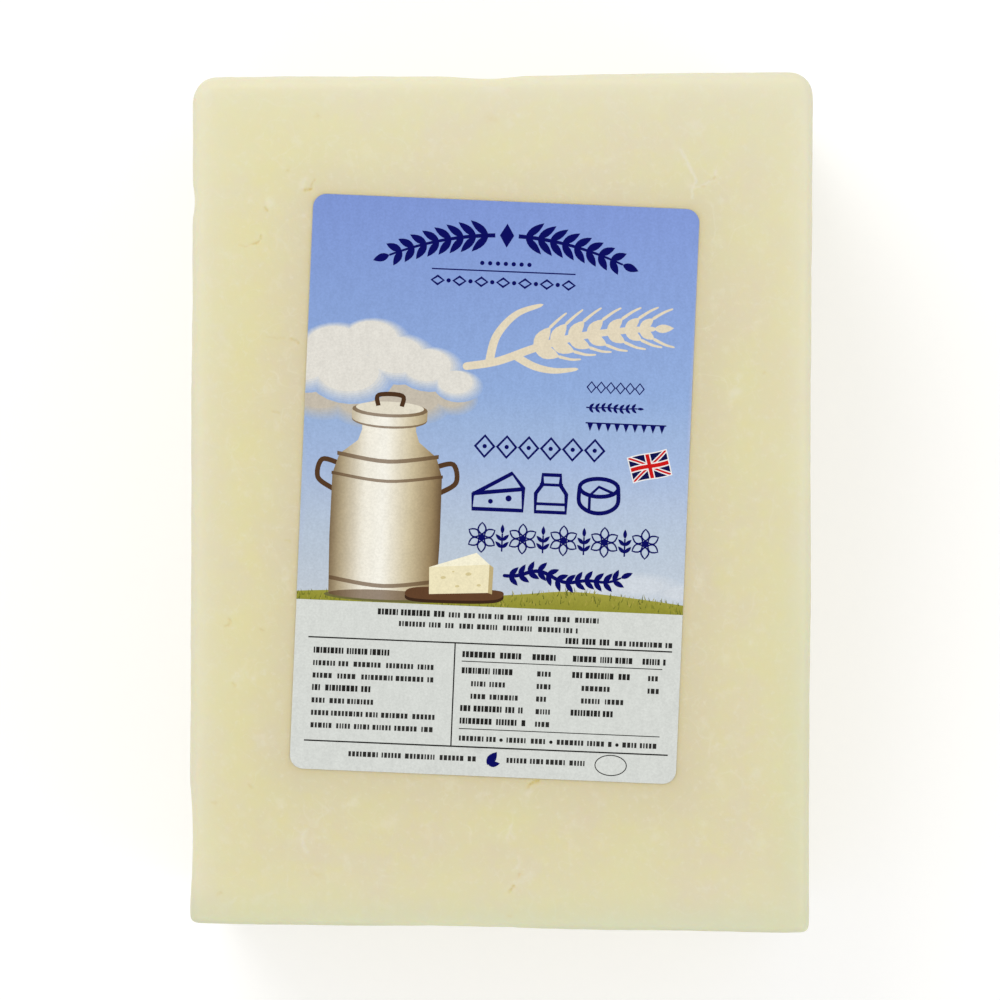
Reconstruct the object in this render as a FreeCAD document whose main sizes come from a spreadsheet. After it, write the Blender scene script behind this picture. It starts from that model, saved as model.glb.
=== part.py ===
import FreeCAD, Part
import math
import os
import Sketcher

# Block of goat cheddar with a printed paper label, in millimetres.
#
# The block lies on its largest face. Its origin is the middle of its footprint, +Z is up, +X runs across
# the block and +Y along it, towards the soft back end.
#
# A block like this starts as a quarter of a pressed slab: three of its sides are the slab's own, with soft
# rounded rims, and the front end is where a wire cut it to length, with a crisp edge. The back and the
# front end are both a little out of square, so the right side is longer than the left. Dents in the sides
# are shallow hollows that are deepest at the top face and fade out on the way down.

# Driving sizes: alias, value, what it is.
SIZES = [
    ("block_width", 138.3, "across the block, between its two long sides"),
    ("block_length", 192.0, "length of the right side, the longer one"),
    ("block_thickness", 88.0, "from the resting face to the top face"),
    ("back_drop", 1.70, "how much shorter the left side is at the back end"),
    ("front_rise", 1.55, "how much shorter the left side is at the front end"),
    ("back_left_radius", 5.5, "upright corner at the back, left"),
    ("back_right_radius", 5.3, "upright corner at the back, right"),
    ("soft_rim_radius", 3.0, "rims of the back end and of both long sides"),
    ("cut_edge_radius", 1.6, "edge round the wire-cut front end"),
    ("cut_run_out", 12.0, "length that the wire cuts away past the front end"),
    ("label_width", 86.0, "paper label, across"),
    ("label_length", 128.0, "paper label, along"),
    ("label_corner_radius", 3.0, "rounded corners of the label"),
    ("label_thickness", 0.15, "paper and its glue"),
    ("label_across", -1.45, "middle of the label from the middle of the block, across"),
    ("label_along", 2.72, "middle of the label from the middle of the block, along"),
    ("label_turn", -2.17, "degrees that the label is stuck on askew, counterclockwise from above"),
]

# Dents in the sides: name, side, place of the middle along that side, width, depth and how far down from
# the top face the dent fades out. The back and front ends count their place across, in X, and the left
# side counts it along, in Y.
DENTS = [
    ("back_sag", "back", -15.0, 56.0, 0.55, 60.0),
    ("back_dip", "back", -4.5, 22.0, 1.15, 42.0),
    ("left_notch", "left", 66.6, 7.5, 0.80, 30.0),
    ("left_hollow", "left", -77.0, 29.0, 0.75, 46.0),
    ("front_sag", "front", -15.0, 46.0, 0.45, 60.0),
]
DENT_SIZES = ("place", "width", "depth", "reach")

TOLERANCE = 1e-4


def add_sheet(doc):
    """The spreadsheet that holds every driving size, each in a cell with an alias."""
    sheet = doc.addObject("Spreadsheet::Sheet", "sizes")
    rows = list(SIZES)
    for name, side, place, width, depth, reach in DENTS:
        for size_name, value in zip(DENT_SIZES, (place, width, depth, reach)):
            rows.append((f"{name}_{size_name}", value, f"{size_name} of the dent in the {side} side"))
    for row, (alias, value, note) in enumerate(rows, start=1):
        sheet.set(f"A{row}", note)
        sheet.set(f"B{row}", str(value))
        sheet.setAlias(f"B{row}", alias)
    doc.recompute()
    return sheet


def add_body(doc, name):
    body = doc.addObject("PartDesign::Body", name)
    body.Label = name
    return body


def origin_plane(body, role):
    for feature in body.Origin.OriginFeatures:
        if feature.Role == role:
            return feature
    raise RuntimeError(f"{body.Label} has no {role}")


def add_sketch(body, name):
    """An empty sketch on the body's own XY plane."""
    sketch = body.newObject("Sketcher::SketchObject", name)
    sketch.AttachmentSupport = [(origin_plane(body, "XY_Plane"), "")]
    sketch.MapMode = "FlatFace"
    return sketch


def bind(feature, sizes):
    """Binds each property of the feature to its formula over the sheet's aliases."""
    for path, formula in sizes.items():
        feature.setExpression(path, formula)


def add_polygon(sketch, corners):
    """A closed chain of lines through the corners: line number n runs from corner n to corner n + 1."""
    points = [FreeCAD.Vector(x, y, 0) for x, y in corners]
    count = len(points)
    for n in range(count):
        sketch.addGeometry(Part.LineSegment(points[n], points[(n + 1) % count]), False)
    for n in range(count):
        sketch.addConstraint(Sketcher.Constraint("Coincident", n, 2, (n + 1) % count, 1))


def place_corner(sketch, corner, x_formula, y_formula):
    """Ties a polygon's corner to the sketch's origin by two formulas."""
    x, y = sketch.Geometry[corner].StartPoint.x, sketch.Geometry[corner].StartPoint.y
    for kind, value, formula in (("DistanceX", x, x_formula), ("DistanceY", y, y_formula)):
        index = sketch.addConstraint(Sketcher.Constraint(kind, -1, 1, corner, 1, value))
        sketch.setExpression(f"Constraints[{index}]", formula)


def names_where(items, prefix, test):
    return [f"{prefix}{n}" for n, item in enumerate(items, start=1) if test(item)]


def add_fillet(body, name, base, picked, radius):
    """Rounds the picked edges or faces of the base feature to a radius from the sheet."""
    if not picked:
        raise RuntimeError(f"{name} found nothing to round")
    fillet = body.newObject("PartDesign::Fillet", name)
    fillet.Base = (base, picked)
    fillet.setExpression("Radius", f"sizes.{radius}")
    body.Document.recompute()
    return fillet


def add_blank(body, sheet):
    """The slab's end before it is cut to length: a slightly out-of-square outline, padded upwards."""
    side = sheet.block_width / 2
    back = sheet.block_length / 2
    front = -back - sheet.cut_run_out
    sketch = add_sketch(body, "blank_outline")
    add_polygon(sketch, [(-side, front), (side, front), (side, back), (-side, back - sheet.back_drop)])
    half_width = "sizes.block_width / 2"
    half_length = "sizes.block_length / 2"
    place_corner(sketch, 0, f"-{half_width}", f"-{half_length} - sizes.cut_run_out")
    place_corner(sketch, 1, half_width, f"-{half_length} - sizes.cut_run_out")
    place_corner(sketch, 2, half_width, half_length)
    place_corner(sketch, 3, f"-{half_width}", f"{half_length} - sizes.back_drop")
    pad = body.newObject("PartDesign::Pad", "blank")
    pad.Profile = sketch
    bind(pad, {"Length": "sizes.block_thickness"})
    body.Document.recompute()
    return pad


def round_back_corner(body, base, sign, name):
    """Rounds the upright edge at the back, on the side of the sign of X."""

    def is_corner(edge):
        ends = [vertex.Point for vertex in edge.Vertexes]
        upright = len(ends) == 2 and (ends[0] - ends[1]).cross(FreeCAD.Vector(0, 0, 1)).Length < TOLERANCE
        return upright and ends[0].x * sign > 0 and ends[0].y > 0

    return add_fillet(body, name, base, names_where(base.Shape.Edges, "Edge", is_corner), f"{name}_radius")


def round_soft_rims(body, base, sheet):
    """Rounds the top and bottom rims, all but the front one, which the wire cuts away."""
    front = -sheet.block_length / 2 - sheet.cut_run_out

    def is_rim(edge):
        box = edge.BoundBox
        level = box.ZMax - box.ZMin < TOLERANCE
        return level and box.YMax > front + TOLERANCE

    return add_fillet(body, "soft_rims", base, names_where(base.Shape.Edges, "Edge", is_rim), "soft_rim_radius")


def cut_front(body, base, sheet):
    """Cuts the blank to length with a wire, a little out of square, straight down through the block."""
    side = sheet.block_width / 2 + sheet.cut_run_out
    cut = -sheet.block_length / 2
    waste = cut - 2 * sheet.cut_run_out
    sketch = add_sketch(body, "wire_path")
    add_polygon(sketch, [(-side, cut + sheet.front_rise), (side, cut), (side, waste), (-side, waste)])
    past_side = "sizes.block_width / 2 + sizes.cut_run_out"
    front = "-sizes.block_length / 2"
    slope = "sizes.front_rise * sizes.cut_run_out / sizes.block_width"
    past_front = f"{front} - 2 * sizes.cut_run_out"
    place_corner(sketch, 0, f"-({past_side})", f"{front} + sizes.front_rise + {slope}")
    place_corner(sketch, 1, past_side, f"{front} - {slope}")
    place_corner(sketch, 2, past_side, past_front)
    place_corner(sketch, 3, f"-({past_side})", past_front)
    pocket = body.newObject("PartDesign::Pocket", "wire_cut")
    pocket.Profile = sketch
    pocket.Type = "ThroughAll"
    pocket.Reversed = True
    body.Document.recompute()
    if not pocket.Shape.Volume < base.Shape.Volume:
        raise RuntimeError("the wire cut misses the block")
    return pocket


def round_cut_edge(body, base):
    """Breaks the edge all round the wire-cut face."""

    def is_cut_face(face):
        normal = face.normalAt(0, 0)
        flat = isinstance(face.Surface, Part.Plane)
        return flat and normal.y < -0.9

    return add_fillet(body, "cut_edge", base, names_where(base.Shape.Faces, "Face", is_cut_face), "cut_edge_radius")


def dent_axis(name, side):
    """Formulas for X and Y of a dent's upright axis, and for its turn radius.

    In plan, a dent is the shallow bite of a large circle, whose middle lies outside the block: a bite of
    width w and depth d needs the radius (w^2 / 4 + d^2) / (2 d).
    """
    place = f"sizes.{name}_place"
    width = f"sizes.{name}_width"
    depth = f"sizes.{name}_depth"
    radius = f"({width} * {width} / 4 + {depth} * {depth}) / (2 * {depth})"
    stand_off = f"({radius} - {depth})"
    half_width = "sizes.block_width / 2"
    half_length = "sizes.block_length / 2"
    shortfall = f"({half_width} - {place}) / sizes.block_width"
    if side == "back":
        return place, f"{half_length} - sizes.back_drop * {shortfall} + {stand_off}", radius
    if side == "front":
        return place, f"-({half_length} - sizes.front_rise * {shortfall} + {stand_off})", radius
    return f"-({half_width} + {stand_off})", place, radius


def add_dent(body, name, side):
    """Cuts one dent: a cone that stands beside the block and narrows downwards.

    Its radius falls by the dent's depth over the dent's reach, so the bite is as deep as named at the top
    face and ends where the reach ends. The cone starts below that and rises clear of the top face.
    """
    x, y, radius = dent_axis(name, side)
    depth = f"sizes.{name}_depth"
    reach = f"sizes.{name}_reach"
    faces_before = len(body.Tip.Shape.Faces)
    cone = body.newObject("PartDesign::SubtractiveCone", name)
    bind(cone, {
        "Placement.Base.x": x,
        "Placement.Base.y": y,
        "Placement.Base.z": f"sizes.block_thickness - 1.25 * {reach}",
        "Height": f"1.5 * {reach}",
        "Radius1": f"{radius} - 1.25 * {depth}",
        "Radius2": f"{radius} + 0.25 * {depth}",
    })
    body.Document.recompute()
    if len(cone.Shape.Faces) <= faces_before:
        raise RuntimeError(f"{name} misses the block")
    return cone


def make_block(doc, sheet):
    body = add_body(doc, "cheese_block")
    feature = add_blank(body, sheet)
    feature = round_back_corner(body, feature, -1, "back_left")
    feature = round_back_corner(body, feature, 1, "back_right")
    feature = round_soft_rims(body, feature, sheet)
    feature = cut_front(body, feature, sheet)
    round_cut_edge(body, feature)
    for name, side, *_ in DENTS:
        add_dent(body, name, side)
    return body


def make_label(doc, sheet):
    """The label: a thin rounded rectangle stuck face to face on the block's flat top, a little askew."""
    body = add_body(doc, "label")
    half_width = sheet.label_width / 2
    half_length = sheet.label_length / 2
    sketch = add_sketch(body, "label_outline")
    add_polygon(sketch, [
        (-half_width, -half_length),
        (half_width, -half_length),
        (half_width, half_length),
        (-half_width, half_length),
    ])
    for corner, (x_sign, y_sign) in enumerate((("-", "-"), ("", "-"), ("", ""), ("-", ""))):
        place_corner(sketch, corner, f"{x_sign}sizes.label_width / 2", f"{y_sign}sizes.label_length / 2")
    pad = body.newObject("PartDesign::Pad", "paper")
    pad.Profile = sketch
    bind(pad, {"Length": "sizes.label_thickness"})
    doc.recompute()

    def is_corner(edge):
        return edge.BoundBox.XLength < TOLERANCE and edge.BoundBox.YLength < TOLERANCE

    corners = names_where(pad.Shape.Edges, "Edge", is_corner)
    add_fillet(body, "rounded_corners", pad, corners, "label_corner_radius")
    body.Placement = FreeCAD.Placement(
        FreeCAD.Vector(0, 0, 0), FreeCAD.Rotation(FreeCAD.Vector(0, 0, 1), 1)
    )
    bind(body, {
        "Placement.Base.x": "sizes.label_across",
        "Placement.Base.y": "sizes.label_along",
        "Placement.Base.z": "sizes.block_thickness",
        "Placement.Rotation.Angle": "sizes.label_turn",
    })
    doc.recompute()
    return body


def check_document(doc, bodies):
    """Stops before anything is written if a feature failed or a body is empty, broken or in pieces."""
    for item in doc.Objects:
        if "Invalid" in item.State or "Error" in item.State:
            raise RuntimeError(f"{item.Name} failed: {item.State}")
    for body in bodies:
        shape = body.Shape
        if shape.isNull() or not shape.isValid() or len(shape.Solids) != 1:
            raise RuntimeError(f"{body.Label} isn't one valid solid")


def main():
    doc = FreeCAD.newDocument("goat_cheddar")
    sheet = add_sheet(doc)
    bodies = [make_block(doc, sheet), make_label(doc, sheet)]
    doc.recompute()
    check_document(doc, bodies)
    os.makedirs("parts", exist_ok=True)
    for body in bodies:
        body.Shape.exportStep(os.path.join("parts", f"{body.Label}.step"))
        box = body.Shape.BoundBox
        print(body.Label, f"{box.XLength:.2f} x {box.YLength:.2f} x {box.ZLength:.2f} mm,",
              f"{body.Shape.Volume / 1000:.1f} ml")


main()
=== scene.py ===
"""A block of goat cheddar with a printed paper label on its top face.

Lengths are millimetres in the block's own frame, +X right, +Y towards the back and +Z up, until a mesh
is made, which is in metres. Label shapes use (u, v): millimetres right of and below its top left corner.
"""

import math
import random
from collections import namedtuple

import bpy
import numpy as np
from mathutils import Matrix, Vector, noise
from mathutils.bvhtree import BVHTree
from mathutils.geometry import delaunay_2d_cdt


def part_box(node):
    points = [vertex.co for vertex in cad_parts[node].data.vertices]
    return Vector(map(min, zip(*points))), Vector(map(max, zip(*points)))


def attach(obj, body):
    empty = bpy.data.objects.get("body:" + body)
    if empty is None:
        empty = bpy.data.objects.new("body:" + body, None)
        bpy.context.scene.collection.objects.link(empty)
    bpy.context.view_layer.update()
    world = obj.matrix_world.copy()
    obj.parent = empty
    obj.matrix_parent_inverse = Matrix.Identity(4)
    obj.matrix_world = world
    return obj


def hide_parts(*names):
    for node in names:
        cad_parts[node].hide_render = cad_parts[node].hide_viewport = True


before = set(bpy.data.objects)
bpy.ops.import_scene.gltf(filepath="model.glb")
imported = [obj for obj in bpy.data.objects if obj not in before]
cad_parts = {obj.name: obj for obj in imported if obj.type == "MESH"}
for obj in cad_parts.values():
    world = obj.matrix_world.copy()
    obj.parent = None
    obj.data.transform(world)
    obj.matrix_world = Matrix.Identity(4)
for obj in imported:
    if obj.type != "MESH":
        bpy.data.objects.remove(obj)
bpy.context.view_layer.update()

MM = 0.001

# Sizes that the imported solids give.
BLOCK_LOW, BLOCK_HIGH = (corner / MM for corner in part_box("cheese_block"))
LABEL_LOW, LABEL_HIGH = (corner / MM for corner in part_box("label"))
TOP = BLOCK_HIGH.z
LABEL_CENTRE = (LABEL_LOW + LABEL_HIGH) / 2
PAPER = LABEL_HIGH.z - LABEL_LOW.z

# The label as cut.
LABEL_WIDTH = 86.0
LABEL_LENGTH = 128.0
LABEL_CORNER = 3.0
LABEL_TURN = math.radians(-2.17)
PICTURE_LENGTH = 90.3

# The wrapped grid that is laid over the block before it is drawn in onto the solid.
RIM = 3.0
REACH = 7.0
GRID_CORNER = 2.0
CAP_HALF_X = (BLOCK_HIGH.x - BLOCK_LOW.x) / 2 - RIM
CAP_HALF_Y = (BLOCK_HIGH.y - BLOCK_LOW.y) / 2 - RIM
WALL_PITCH = 1.25
TOP_PITCH = 0.95
HIDDEN_PITCH = 5.0
NEAR_MARK_PITCH = 0.45
MARK_PITCH = 0.24
COARSE_FROM = 2.0  # how far from a mark the ordinary grid starts
NEAR_BAND = (0.95, 1.7)  # how far from a mark the finer grid lies
FINE_BAND = 0.8  # how far from a mark the finest grid reaches
MARK_REACH = 4.0
SEAM_GAP = 0.55  # the share of a pitch that stays free along a seam
SIDE_BOW = 3.2e-5
SMOOTHING_ROUNDS = 4
SIDE_RELIEF = 1.3  # how much stronger the curd relief is on the sides
LABEL_PRESS = 0.04  # how far the label presses the face in
FAR = 1e3  # farther than any distance that matters


# ---- small helpers


def linear(red, green, blue):
    """A display colour, 0 to 255, as the linear colour that a shader takes."""
    parts = [c / 255 for c in (red, green, blue)]
    parts = [c / 12.92 if c <= 0.04045 else ((c + 0.055) / 1.055) ** 2.4 for c in parts]
    return (*parts, 1.0)


def ease(low, high, value):
    """0 below low, 1 above high, and a smooth step between."""
    t = np.clip((np.asarray(value, float) - low) / (high - low), 0, 1)
    return t * t * (3 - 2 * t)


def hump(values, width):
    """1 where values are 0, and falling smoothly to 0 on both sides."""
    return np.exp(-((values / width) ** 2))


def noise_at(points, wavelength, shift=0.0):
    """Smooth noise from about -1 to 1, one value for each point."""
    offset = Vector((shift, 1.7 * shift, -0.6 * shift))
    return np.array([noise.noise(Vector(p) / wavelength + offset) for p in points])


def box_distance(x, y, half_x, half_y, corner):
    """How far outside a rectangle with round corners a point lies, negative inside."""
    qx = np.abs(x) - (half_x - corner)
    qy = np.abs(y) - (half_y - corner)
    outside = np.hypot(np.maximum(qx, 0), np.maximum(qy, 0))
    return outside + np.minimum(np.maximum(qx, qy), 0) - corner


def path_distance(points, path):
    """Distance of each 2-D point from a line through the points of path, or FAR well away from it."""
    low, high = np.min(path, axis=0) - MARK_REACH, np.max(path, axis=0) + MARK_REACH
    beside = np.flatnonzero(((points > low) & (points < high)).all(axis=1))
    found = np.full(len(points), FAR)
    near = points[beside]
    best = np.full(len(near), FAR)
    for start, end in zip(path, path[1:]):
        start, along = np.array(start), np.array(end) - np.array(start)
        t = np.clip((near - start) @ along / (along @ along), 0, 1)
        best = np.minimum(best, np.linalg.norm(near - start - t[:, None] * along, axis=1))
    found[beside] = best
    return found


def staggered_grid(low, high, pitch):
    """Points of a grid of equal triangles that fills a box."""
    row = pitch * math.sqrt(3) / 2
    points = []
    for i, y in enumerate(np.arange(low[1] + row / 2, high[1], row)):
        xs = np.arange(low[0] + pitch * (0.25 + 0.5 * (i % 2)), high[0], pitch)
        points.append(np.column_stack([xs, np.full(len(xs), y)]))
    return np.concatenate(points)


def at_height(flat, z):
    """Flat points with a third coordinate."""
    return np.column_stack([flat, np.full(len(flat), z)])


def bowed(points, outline):
    """The points with the outline's sides bent out a trace, so that no three points of one are in line."""
    low, high = outline.min(axis=0), outline.max(axis=0)
    half = (high - low) / 2
    x, y = (points - (low + high) / 2).T
    bow_x = 1 + SIDE_BOW * half[1] ** 2 / half[0] * (1 - (y / half[1]) ** 2)
    bow_y = 1 + SIDE_BOW * half[0] ** 2 / half[1] * (1 - (x / half[0]) ** 2)
    return np.column_stack([x * bow_x, y * bow_y])


def fill(outline, inner):
    """Triangles that fill an outline and use the inner points. Returns all points and the triangles.

    A triangle with an edge that runs backwards along the outline is a sliver outside it, and is dropped."""
    points = np.concatenate([outline, inner])
    count = len(outline)
    flat = [Vector(p) for p in bowed(points, outline)]
    made = delaunay_2d_cdt(flat, [], [list(range(count))], 1, 1e-6, True)
    source = [ids[0] for ids in made[3]]
    faces = np.array([[source[i] for i in face] for face in made[2]])
    after = np.roll(faces, -1, axis=1)
    backwards = (faces < count) & (after < count) & ((after + 1) % count == faces)
    return points, faces[~backwards.any(axis=1)]


def put_in_scene(name, data):
    """A new object that holds a mesh, lamp or camera."""
    made = bpy.data.objects.new(name, data)
    bpy.context.scene.collection.objects.link(made)
    return made


def new_mesh_object(name, points_mm, faces):
    """A mesh object in metres, shaded smooth."""
    mesh = bpy.data.meshes.new(name)
    mesh.from_pydata((np.asarray(points_mm) * MM).tolist(), [], [list(map(int, f)) for f in faces])
    mesh.polygons.foreach_set("use_smooth", [True] * len(mesh.polygons))
    mesh.update()
    return put_in_scene(name, mesh)


def store(mesh, name, values, kind="FLOAT", domain="POINT"):
    """Keeps values on the mesh for its material to read."""
    layer = mesh.attributes.new(name, kind, domain)
    key = "color" if kind == "FLOAT_COLOR" else "value"
    layer.data.foreach_set(key, np.asarray(values, np.float32).ravel())


# ---- marks in the cheese

# A crack, pit or crease: a path on the flat or unrolled surface, its width and depth, how dark yellow it
# is (deep) and how whitish (pale), each 0 to 1.
Mark = namedtuple("Mark", "path width depth deep pale", defaults=(0.0, 0.0))

# What the top face shows, from its back left corner on. Each row is a width, a depth, a tint, which is
# dark yellow above 0 and whitish below, and a path.
TOP_MARKS = [
    (0.2, 0.12, 0.38, (-41.7, 71.4), (-42.2, 70.5), (-42.7, 69.6)),
    (0.34, 0.21, 0.81, (-42.6, 69.2), (-43.2, 69.0), (-43.9, 69.0)),
    (0.45, 0.04, -0.35, (-43.9, 71.6), (-44.6, 69.9)),
    (0.28, 0.07, 0.34, (-47.9, 73.2), (-47.7, 73.5)),
    (0.4, 0.05, 0.3, (-41.4, 85.5), (-41.1, 85.7)),
    (0.27, 0.15, 0.51, (-52.7, 65.0), (-52.4, 64.5)),
    (0.5, 0.05, -0.45, (-52.0, 66.3), (-51.4, 66.0)),
    (0.25, 0.17, 0.55, (-53.6, 58.8), (-53.8, 57.9), (-54.2, 57.3), (-55.3, 56.9)),
    (0.2, 0.05, 0.24, (-55.4, 56.9), (-57.2, 56.4), (-58.6, 56.7)),
    (0.24, 0.15, 0.47, (-46.9, 35.9), (-45.9, 35.5), (-45.2, 34.9)),
    (0.2, 0.04, 0.21, (-52.4, 36.3), (-50.6, 36.0), (-48.2, 36.1)),
    (0.22, 0.08, 0.3, (-50.8, 19.7), (-49.6, 19.5)),
    (0.22, 0.08, 0.3, (-48.0, -9.0), (-46.9, -9.1)),
    (0.24, 0.11, 0.36, (-60.5, -26.5), (-60.0, -27.1), (-60.5, -27.8), (-61.2, -28.0)),
    (0.24, 0.08, 0.3, (-53.4, -28.7), (-52.8, -29.1)),
    (0.25, 0.08, 0.32, (-59.5, -40.9), (-59.0, -41.3)),
    (0.26, 0.1, 0.32, (-55.8, -63.4), (-55.2, -63.8)),
    (0.36, 0.07, 0.34, (-63.8, -67.3), (-63.3, -67.5)),
    (0.3, 0.07, 0.38, (-62.4, -87.6), (-62.0, -87.3)),
    (0.4, 0.06, -0.45, (-43.2, -73.6), (-43.9, -75.3), (-43.7, -77.0), (-42.8, -78.2)),
    (0.4, 0.03, 0.17, (-41.9, -82.9), (-40.2, -83.5), (-38.8, -84.2)),
    (0.34, 0.24, 0.85, (8.6, -62.0), (7.6, -62.5), (6.7, -63.0)),
    (0.3, 0.15, 0.47, (6.7, -63.0), (6.3, -63.6)),
    (0.55, 0.04, -0.35, (6.6, -64.8), (6.2, -65.2)),
    (0.34, 0.06, -0.4, (2.5, -72.2), (2.2, -73.8), (1.6, -75.0)),
    (0.3, 0.05, -0.35, (2.2, -73.8), (3.3, -74.8)),
    (0.34, 0.06, -0.4, (4.2, -79.2), (4.5, -80.4), (4.0, -81.6)),
    (0.26, 0.08, 0.34, (4.5, -82.9), (4.3, -83.3)),
    (0.3, 0.18, 0.64, (3.1, -85.7), (2.7, -86.3), (2.3, -86.9)),
    (0.36, 0.18, 0.47, (2.2, -92.6), (2.4, -93.4), (2.2, -94.2)),
    (0.34, 0.12, 0.42, (36.1, -94.6), (36.8, -94.7)),
    (0.26, 0.08, -0.6, (39.7, 78.3), (40.6, 76.6), (41.8, 74.4), (43.0, 71.6), (42.3, 69.6), (42.2, 67.6)),
    (0.24, 0.08, -0.45, (42.6, 69.8), (44.0, 70.2), (45.1, 70.8), (47.0, 71.7), (47.7, 73.5)),
    (0.26, 0.12, 0.42, (46.6, 71.6), (47.3, 72.2)),
    (0.24, 0.1, 0.34, (44.6, 70.1), (45.0, 70.3)),
    (0.75, 0.05, -0.45, (51.5, 24.3), (52.6, 24.6)),
    (0.26, 0.07, 0.3, (58.2, 28.8), (58.5, 28.9)),
    (0.9, 0.04, -0.45, (-3.6, 92.0), (-0.6, 91.8)),
    (0.7, 0.02, 0.19, (-3.1, 85.2), (-1.8, 84.9)),
]


def crooked(chance, middle, half, turn, bends):
    """A wandering line about a point of the unrolled sides."""
    c, s = math.cos(turn), math.sin(turn)
    path = []
    for step in range(bends + 1):
        along = half * (2 * step / bends - 1)
        aside = 0.3 * half * chance.uniform(-1, 1)
        path.append((middle[0] + along * c - aside * s, middle[1] + along * s + aside * c))
    return path


def wall_marks(wall):
    """Small openings between the curds, pin holes and pale seams in the four sides, with the most in the
    wire-cut front one."""
    chance = random.Random(43)
    draw = chance.uniform
    marks = []
    for start, end, count in wall.side_spans():
        for k in range(4 * count):
            middle = (draw(start + 7, end - 7), draw(wall.flat_start + 8, wall.flat_end - 8))
            turn = chance.gauss(0, 0.5)
            if k < count:
                path = crooked(chance, middle, draw(0.9, 2.2), turn, 4)
                tint = draw(0.25, 0.5)
                marks.append(Mark(path, 0.22, draw(0.10, 0.25), 0.6 * tint))
                marks.append(Mark(path[1:3], draw(0.28, 0.45), draw(0.3, 0.6), tint))
            elif k < 3 * count:
                path = crooked(chance, middle, draw(0.1, 0.35), turn, 1)
                marks.append(Mark(path, draw(0.22, 0.34), draw(0.12, 0.3), draw(0.2, 0.4)))
            else:
                path = crooked(chance, middle, draw(1.5, 4.0), draw(0, math.pi), 4)
                marks.append(Mark(path, draw(0.26, 0.4), 0.05, 0.0, draw(0.3, 0.5)))
    return marks


def read_marks(points, marks):
    """For each 2-D point: the depth that the marks cut, and how dark yellow and how pale they make it."""
    depth, deep, pale = np.zeros((3, len(points)))
    flat = at_height(points, 0.0)
    ragged = points + 0.22 * np.column_stack([noise_at(flat, 1.3, 4.4), noise_at(flat, 1.1, 7.7)])
    ragged += 0.16 * np.column_stack([noise_at(flat, 0.55, 2.4), noise_at(flat, 0.6, 6.7)])
    for mark in marks:
        away = path_distance(ragged, mark.path) / mark.width
        lip = np.exp(-((away - 2.2) ** 2) / 0.6)
        depth = np.maximum(depth, mark.depth * np.exp(-(away**2))) - 0.08 * mark.depth * lip
        deep = np.maximum(deep, mark.deep * hump(away, 1.35))
        pale = np.maximum(pale, mark.pale * hump(away, 1.3))
    return np.column_stack([depth, deep, pale])


def nearest_mark(points, marks):
    return np.min([path_distance(points, mark.path) for mark in marks], axis=0)


def graded_points(low, high, pitch, marks, keep):
    """Grid points that are closer together round the marks. keep says which points of a grid may stay."""
    coarse = staggered_grid(low, high, pitch)
    coarse = coarse[nearest_mark(coarse, marks) > COARSE_FROM]
    near = staggered_grid(low, high, NEAR_MARK_PITCH)
    away = nearest_mark(near, marks)
    near = near[(away > NEAR_BAND[0]) & (away < NEAR_BAND[1])]
    fine = staggered_grid(low, high, MARK_PITCH)
    fine = fine[nearest_mark(fine, marks) < FINE_BAND]
    return np.concatenate([part[keep(part)] for part in (coarse, near, fine)])


# ---- the cheese's mesh

# A part of the wrapped grid: its points in space, its triangles and what the marks do to each point.
Patch = namedtuple("Patch", "points faces marked")


class Wall:
    """The band round the block, unrolled: s runs along the plan and t up the section, from the underside's
    edge round the lower rim, up the side and round the upper rim to the top face's edge."""

    def __init__(self):
        half_x, half_y = CAP_HALF_X - GRID_CORNER, CAP_HALF_Y - GRID_CORNER
        self.centres = np.array([(half_x, half_y), (-half_x, half_y), (-half_x, -half_y), (half_x, -half_y)])
        self.arc = math.pi / 2 * (GRID_CORNER + REACH)
        self.stretches = [self.arc, 2 * half_x, self.arc, 2 * half_y] * 2
        self.starts = np.concatenate([[0], np.cumsum(self.stretches)])
        self.length = self.starts[-1]
        self.flat_start = math.pi / 2 * REACH
        self.flat_end = self.flat_start + TOP - 2 * RIM
        self.height = self.flat_end + self.flat_start

    def side_spans(self):
        """Where the back, left, front and right sides start and end, and how many openings each has."""
        return zip(self.starts[1::2], self.starts[2::2], (4, 5, 9, 5))

    def place(self, s, t):
        """The grid's points in space, outside the block."""
        s = np.where(s >= self.length, s - self.length, s)
        corner = np.searchsorted(self.starts[::2], s, side="right") - 1
        past = s - self.starts[2 * corner]
        angle = (corner + np.minimum(past / self.arc, 1)) * math.pi / 2
        along = np.maximum(past - self.arc, 0)
        low = np.minimum(t, self.flat_start) / REACH
        high = np.maximum(t - self.flat_end, 0) / REACH
        flat = np.clip(t - self.flat_start, 0, TOP - 2 * RIM)
        out = GRID_CORNER + REACH * np.sin(low) * np.cos(high)
        x = self.centres[corner, 0] + np.cos(angle) * out - np.sin(angle) * along
        y = self.centres[corner, 1] + np.sin(angle) * out + np.cos(angle) * along
        return np.column_stack([x, y, RIM - REACH * np.cos(low) + flat + REACH * np.sin(high)])

    def stations(self):
        """Places along s where the caps join on."""
        places = []
        for start, length in zip(self.starts, self.stretches):
            steps = math.ceil(length / WALL_PITCH)
            places += [start + length * k / steps for k in range(steps)]
        return np.array(places)

    def ring(self, t):
        """The points in space where a cap joins on."""
        places = self.stations()
        return self.place(places, np.full(len(places), t))


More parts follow.
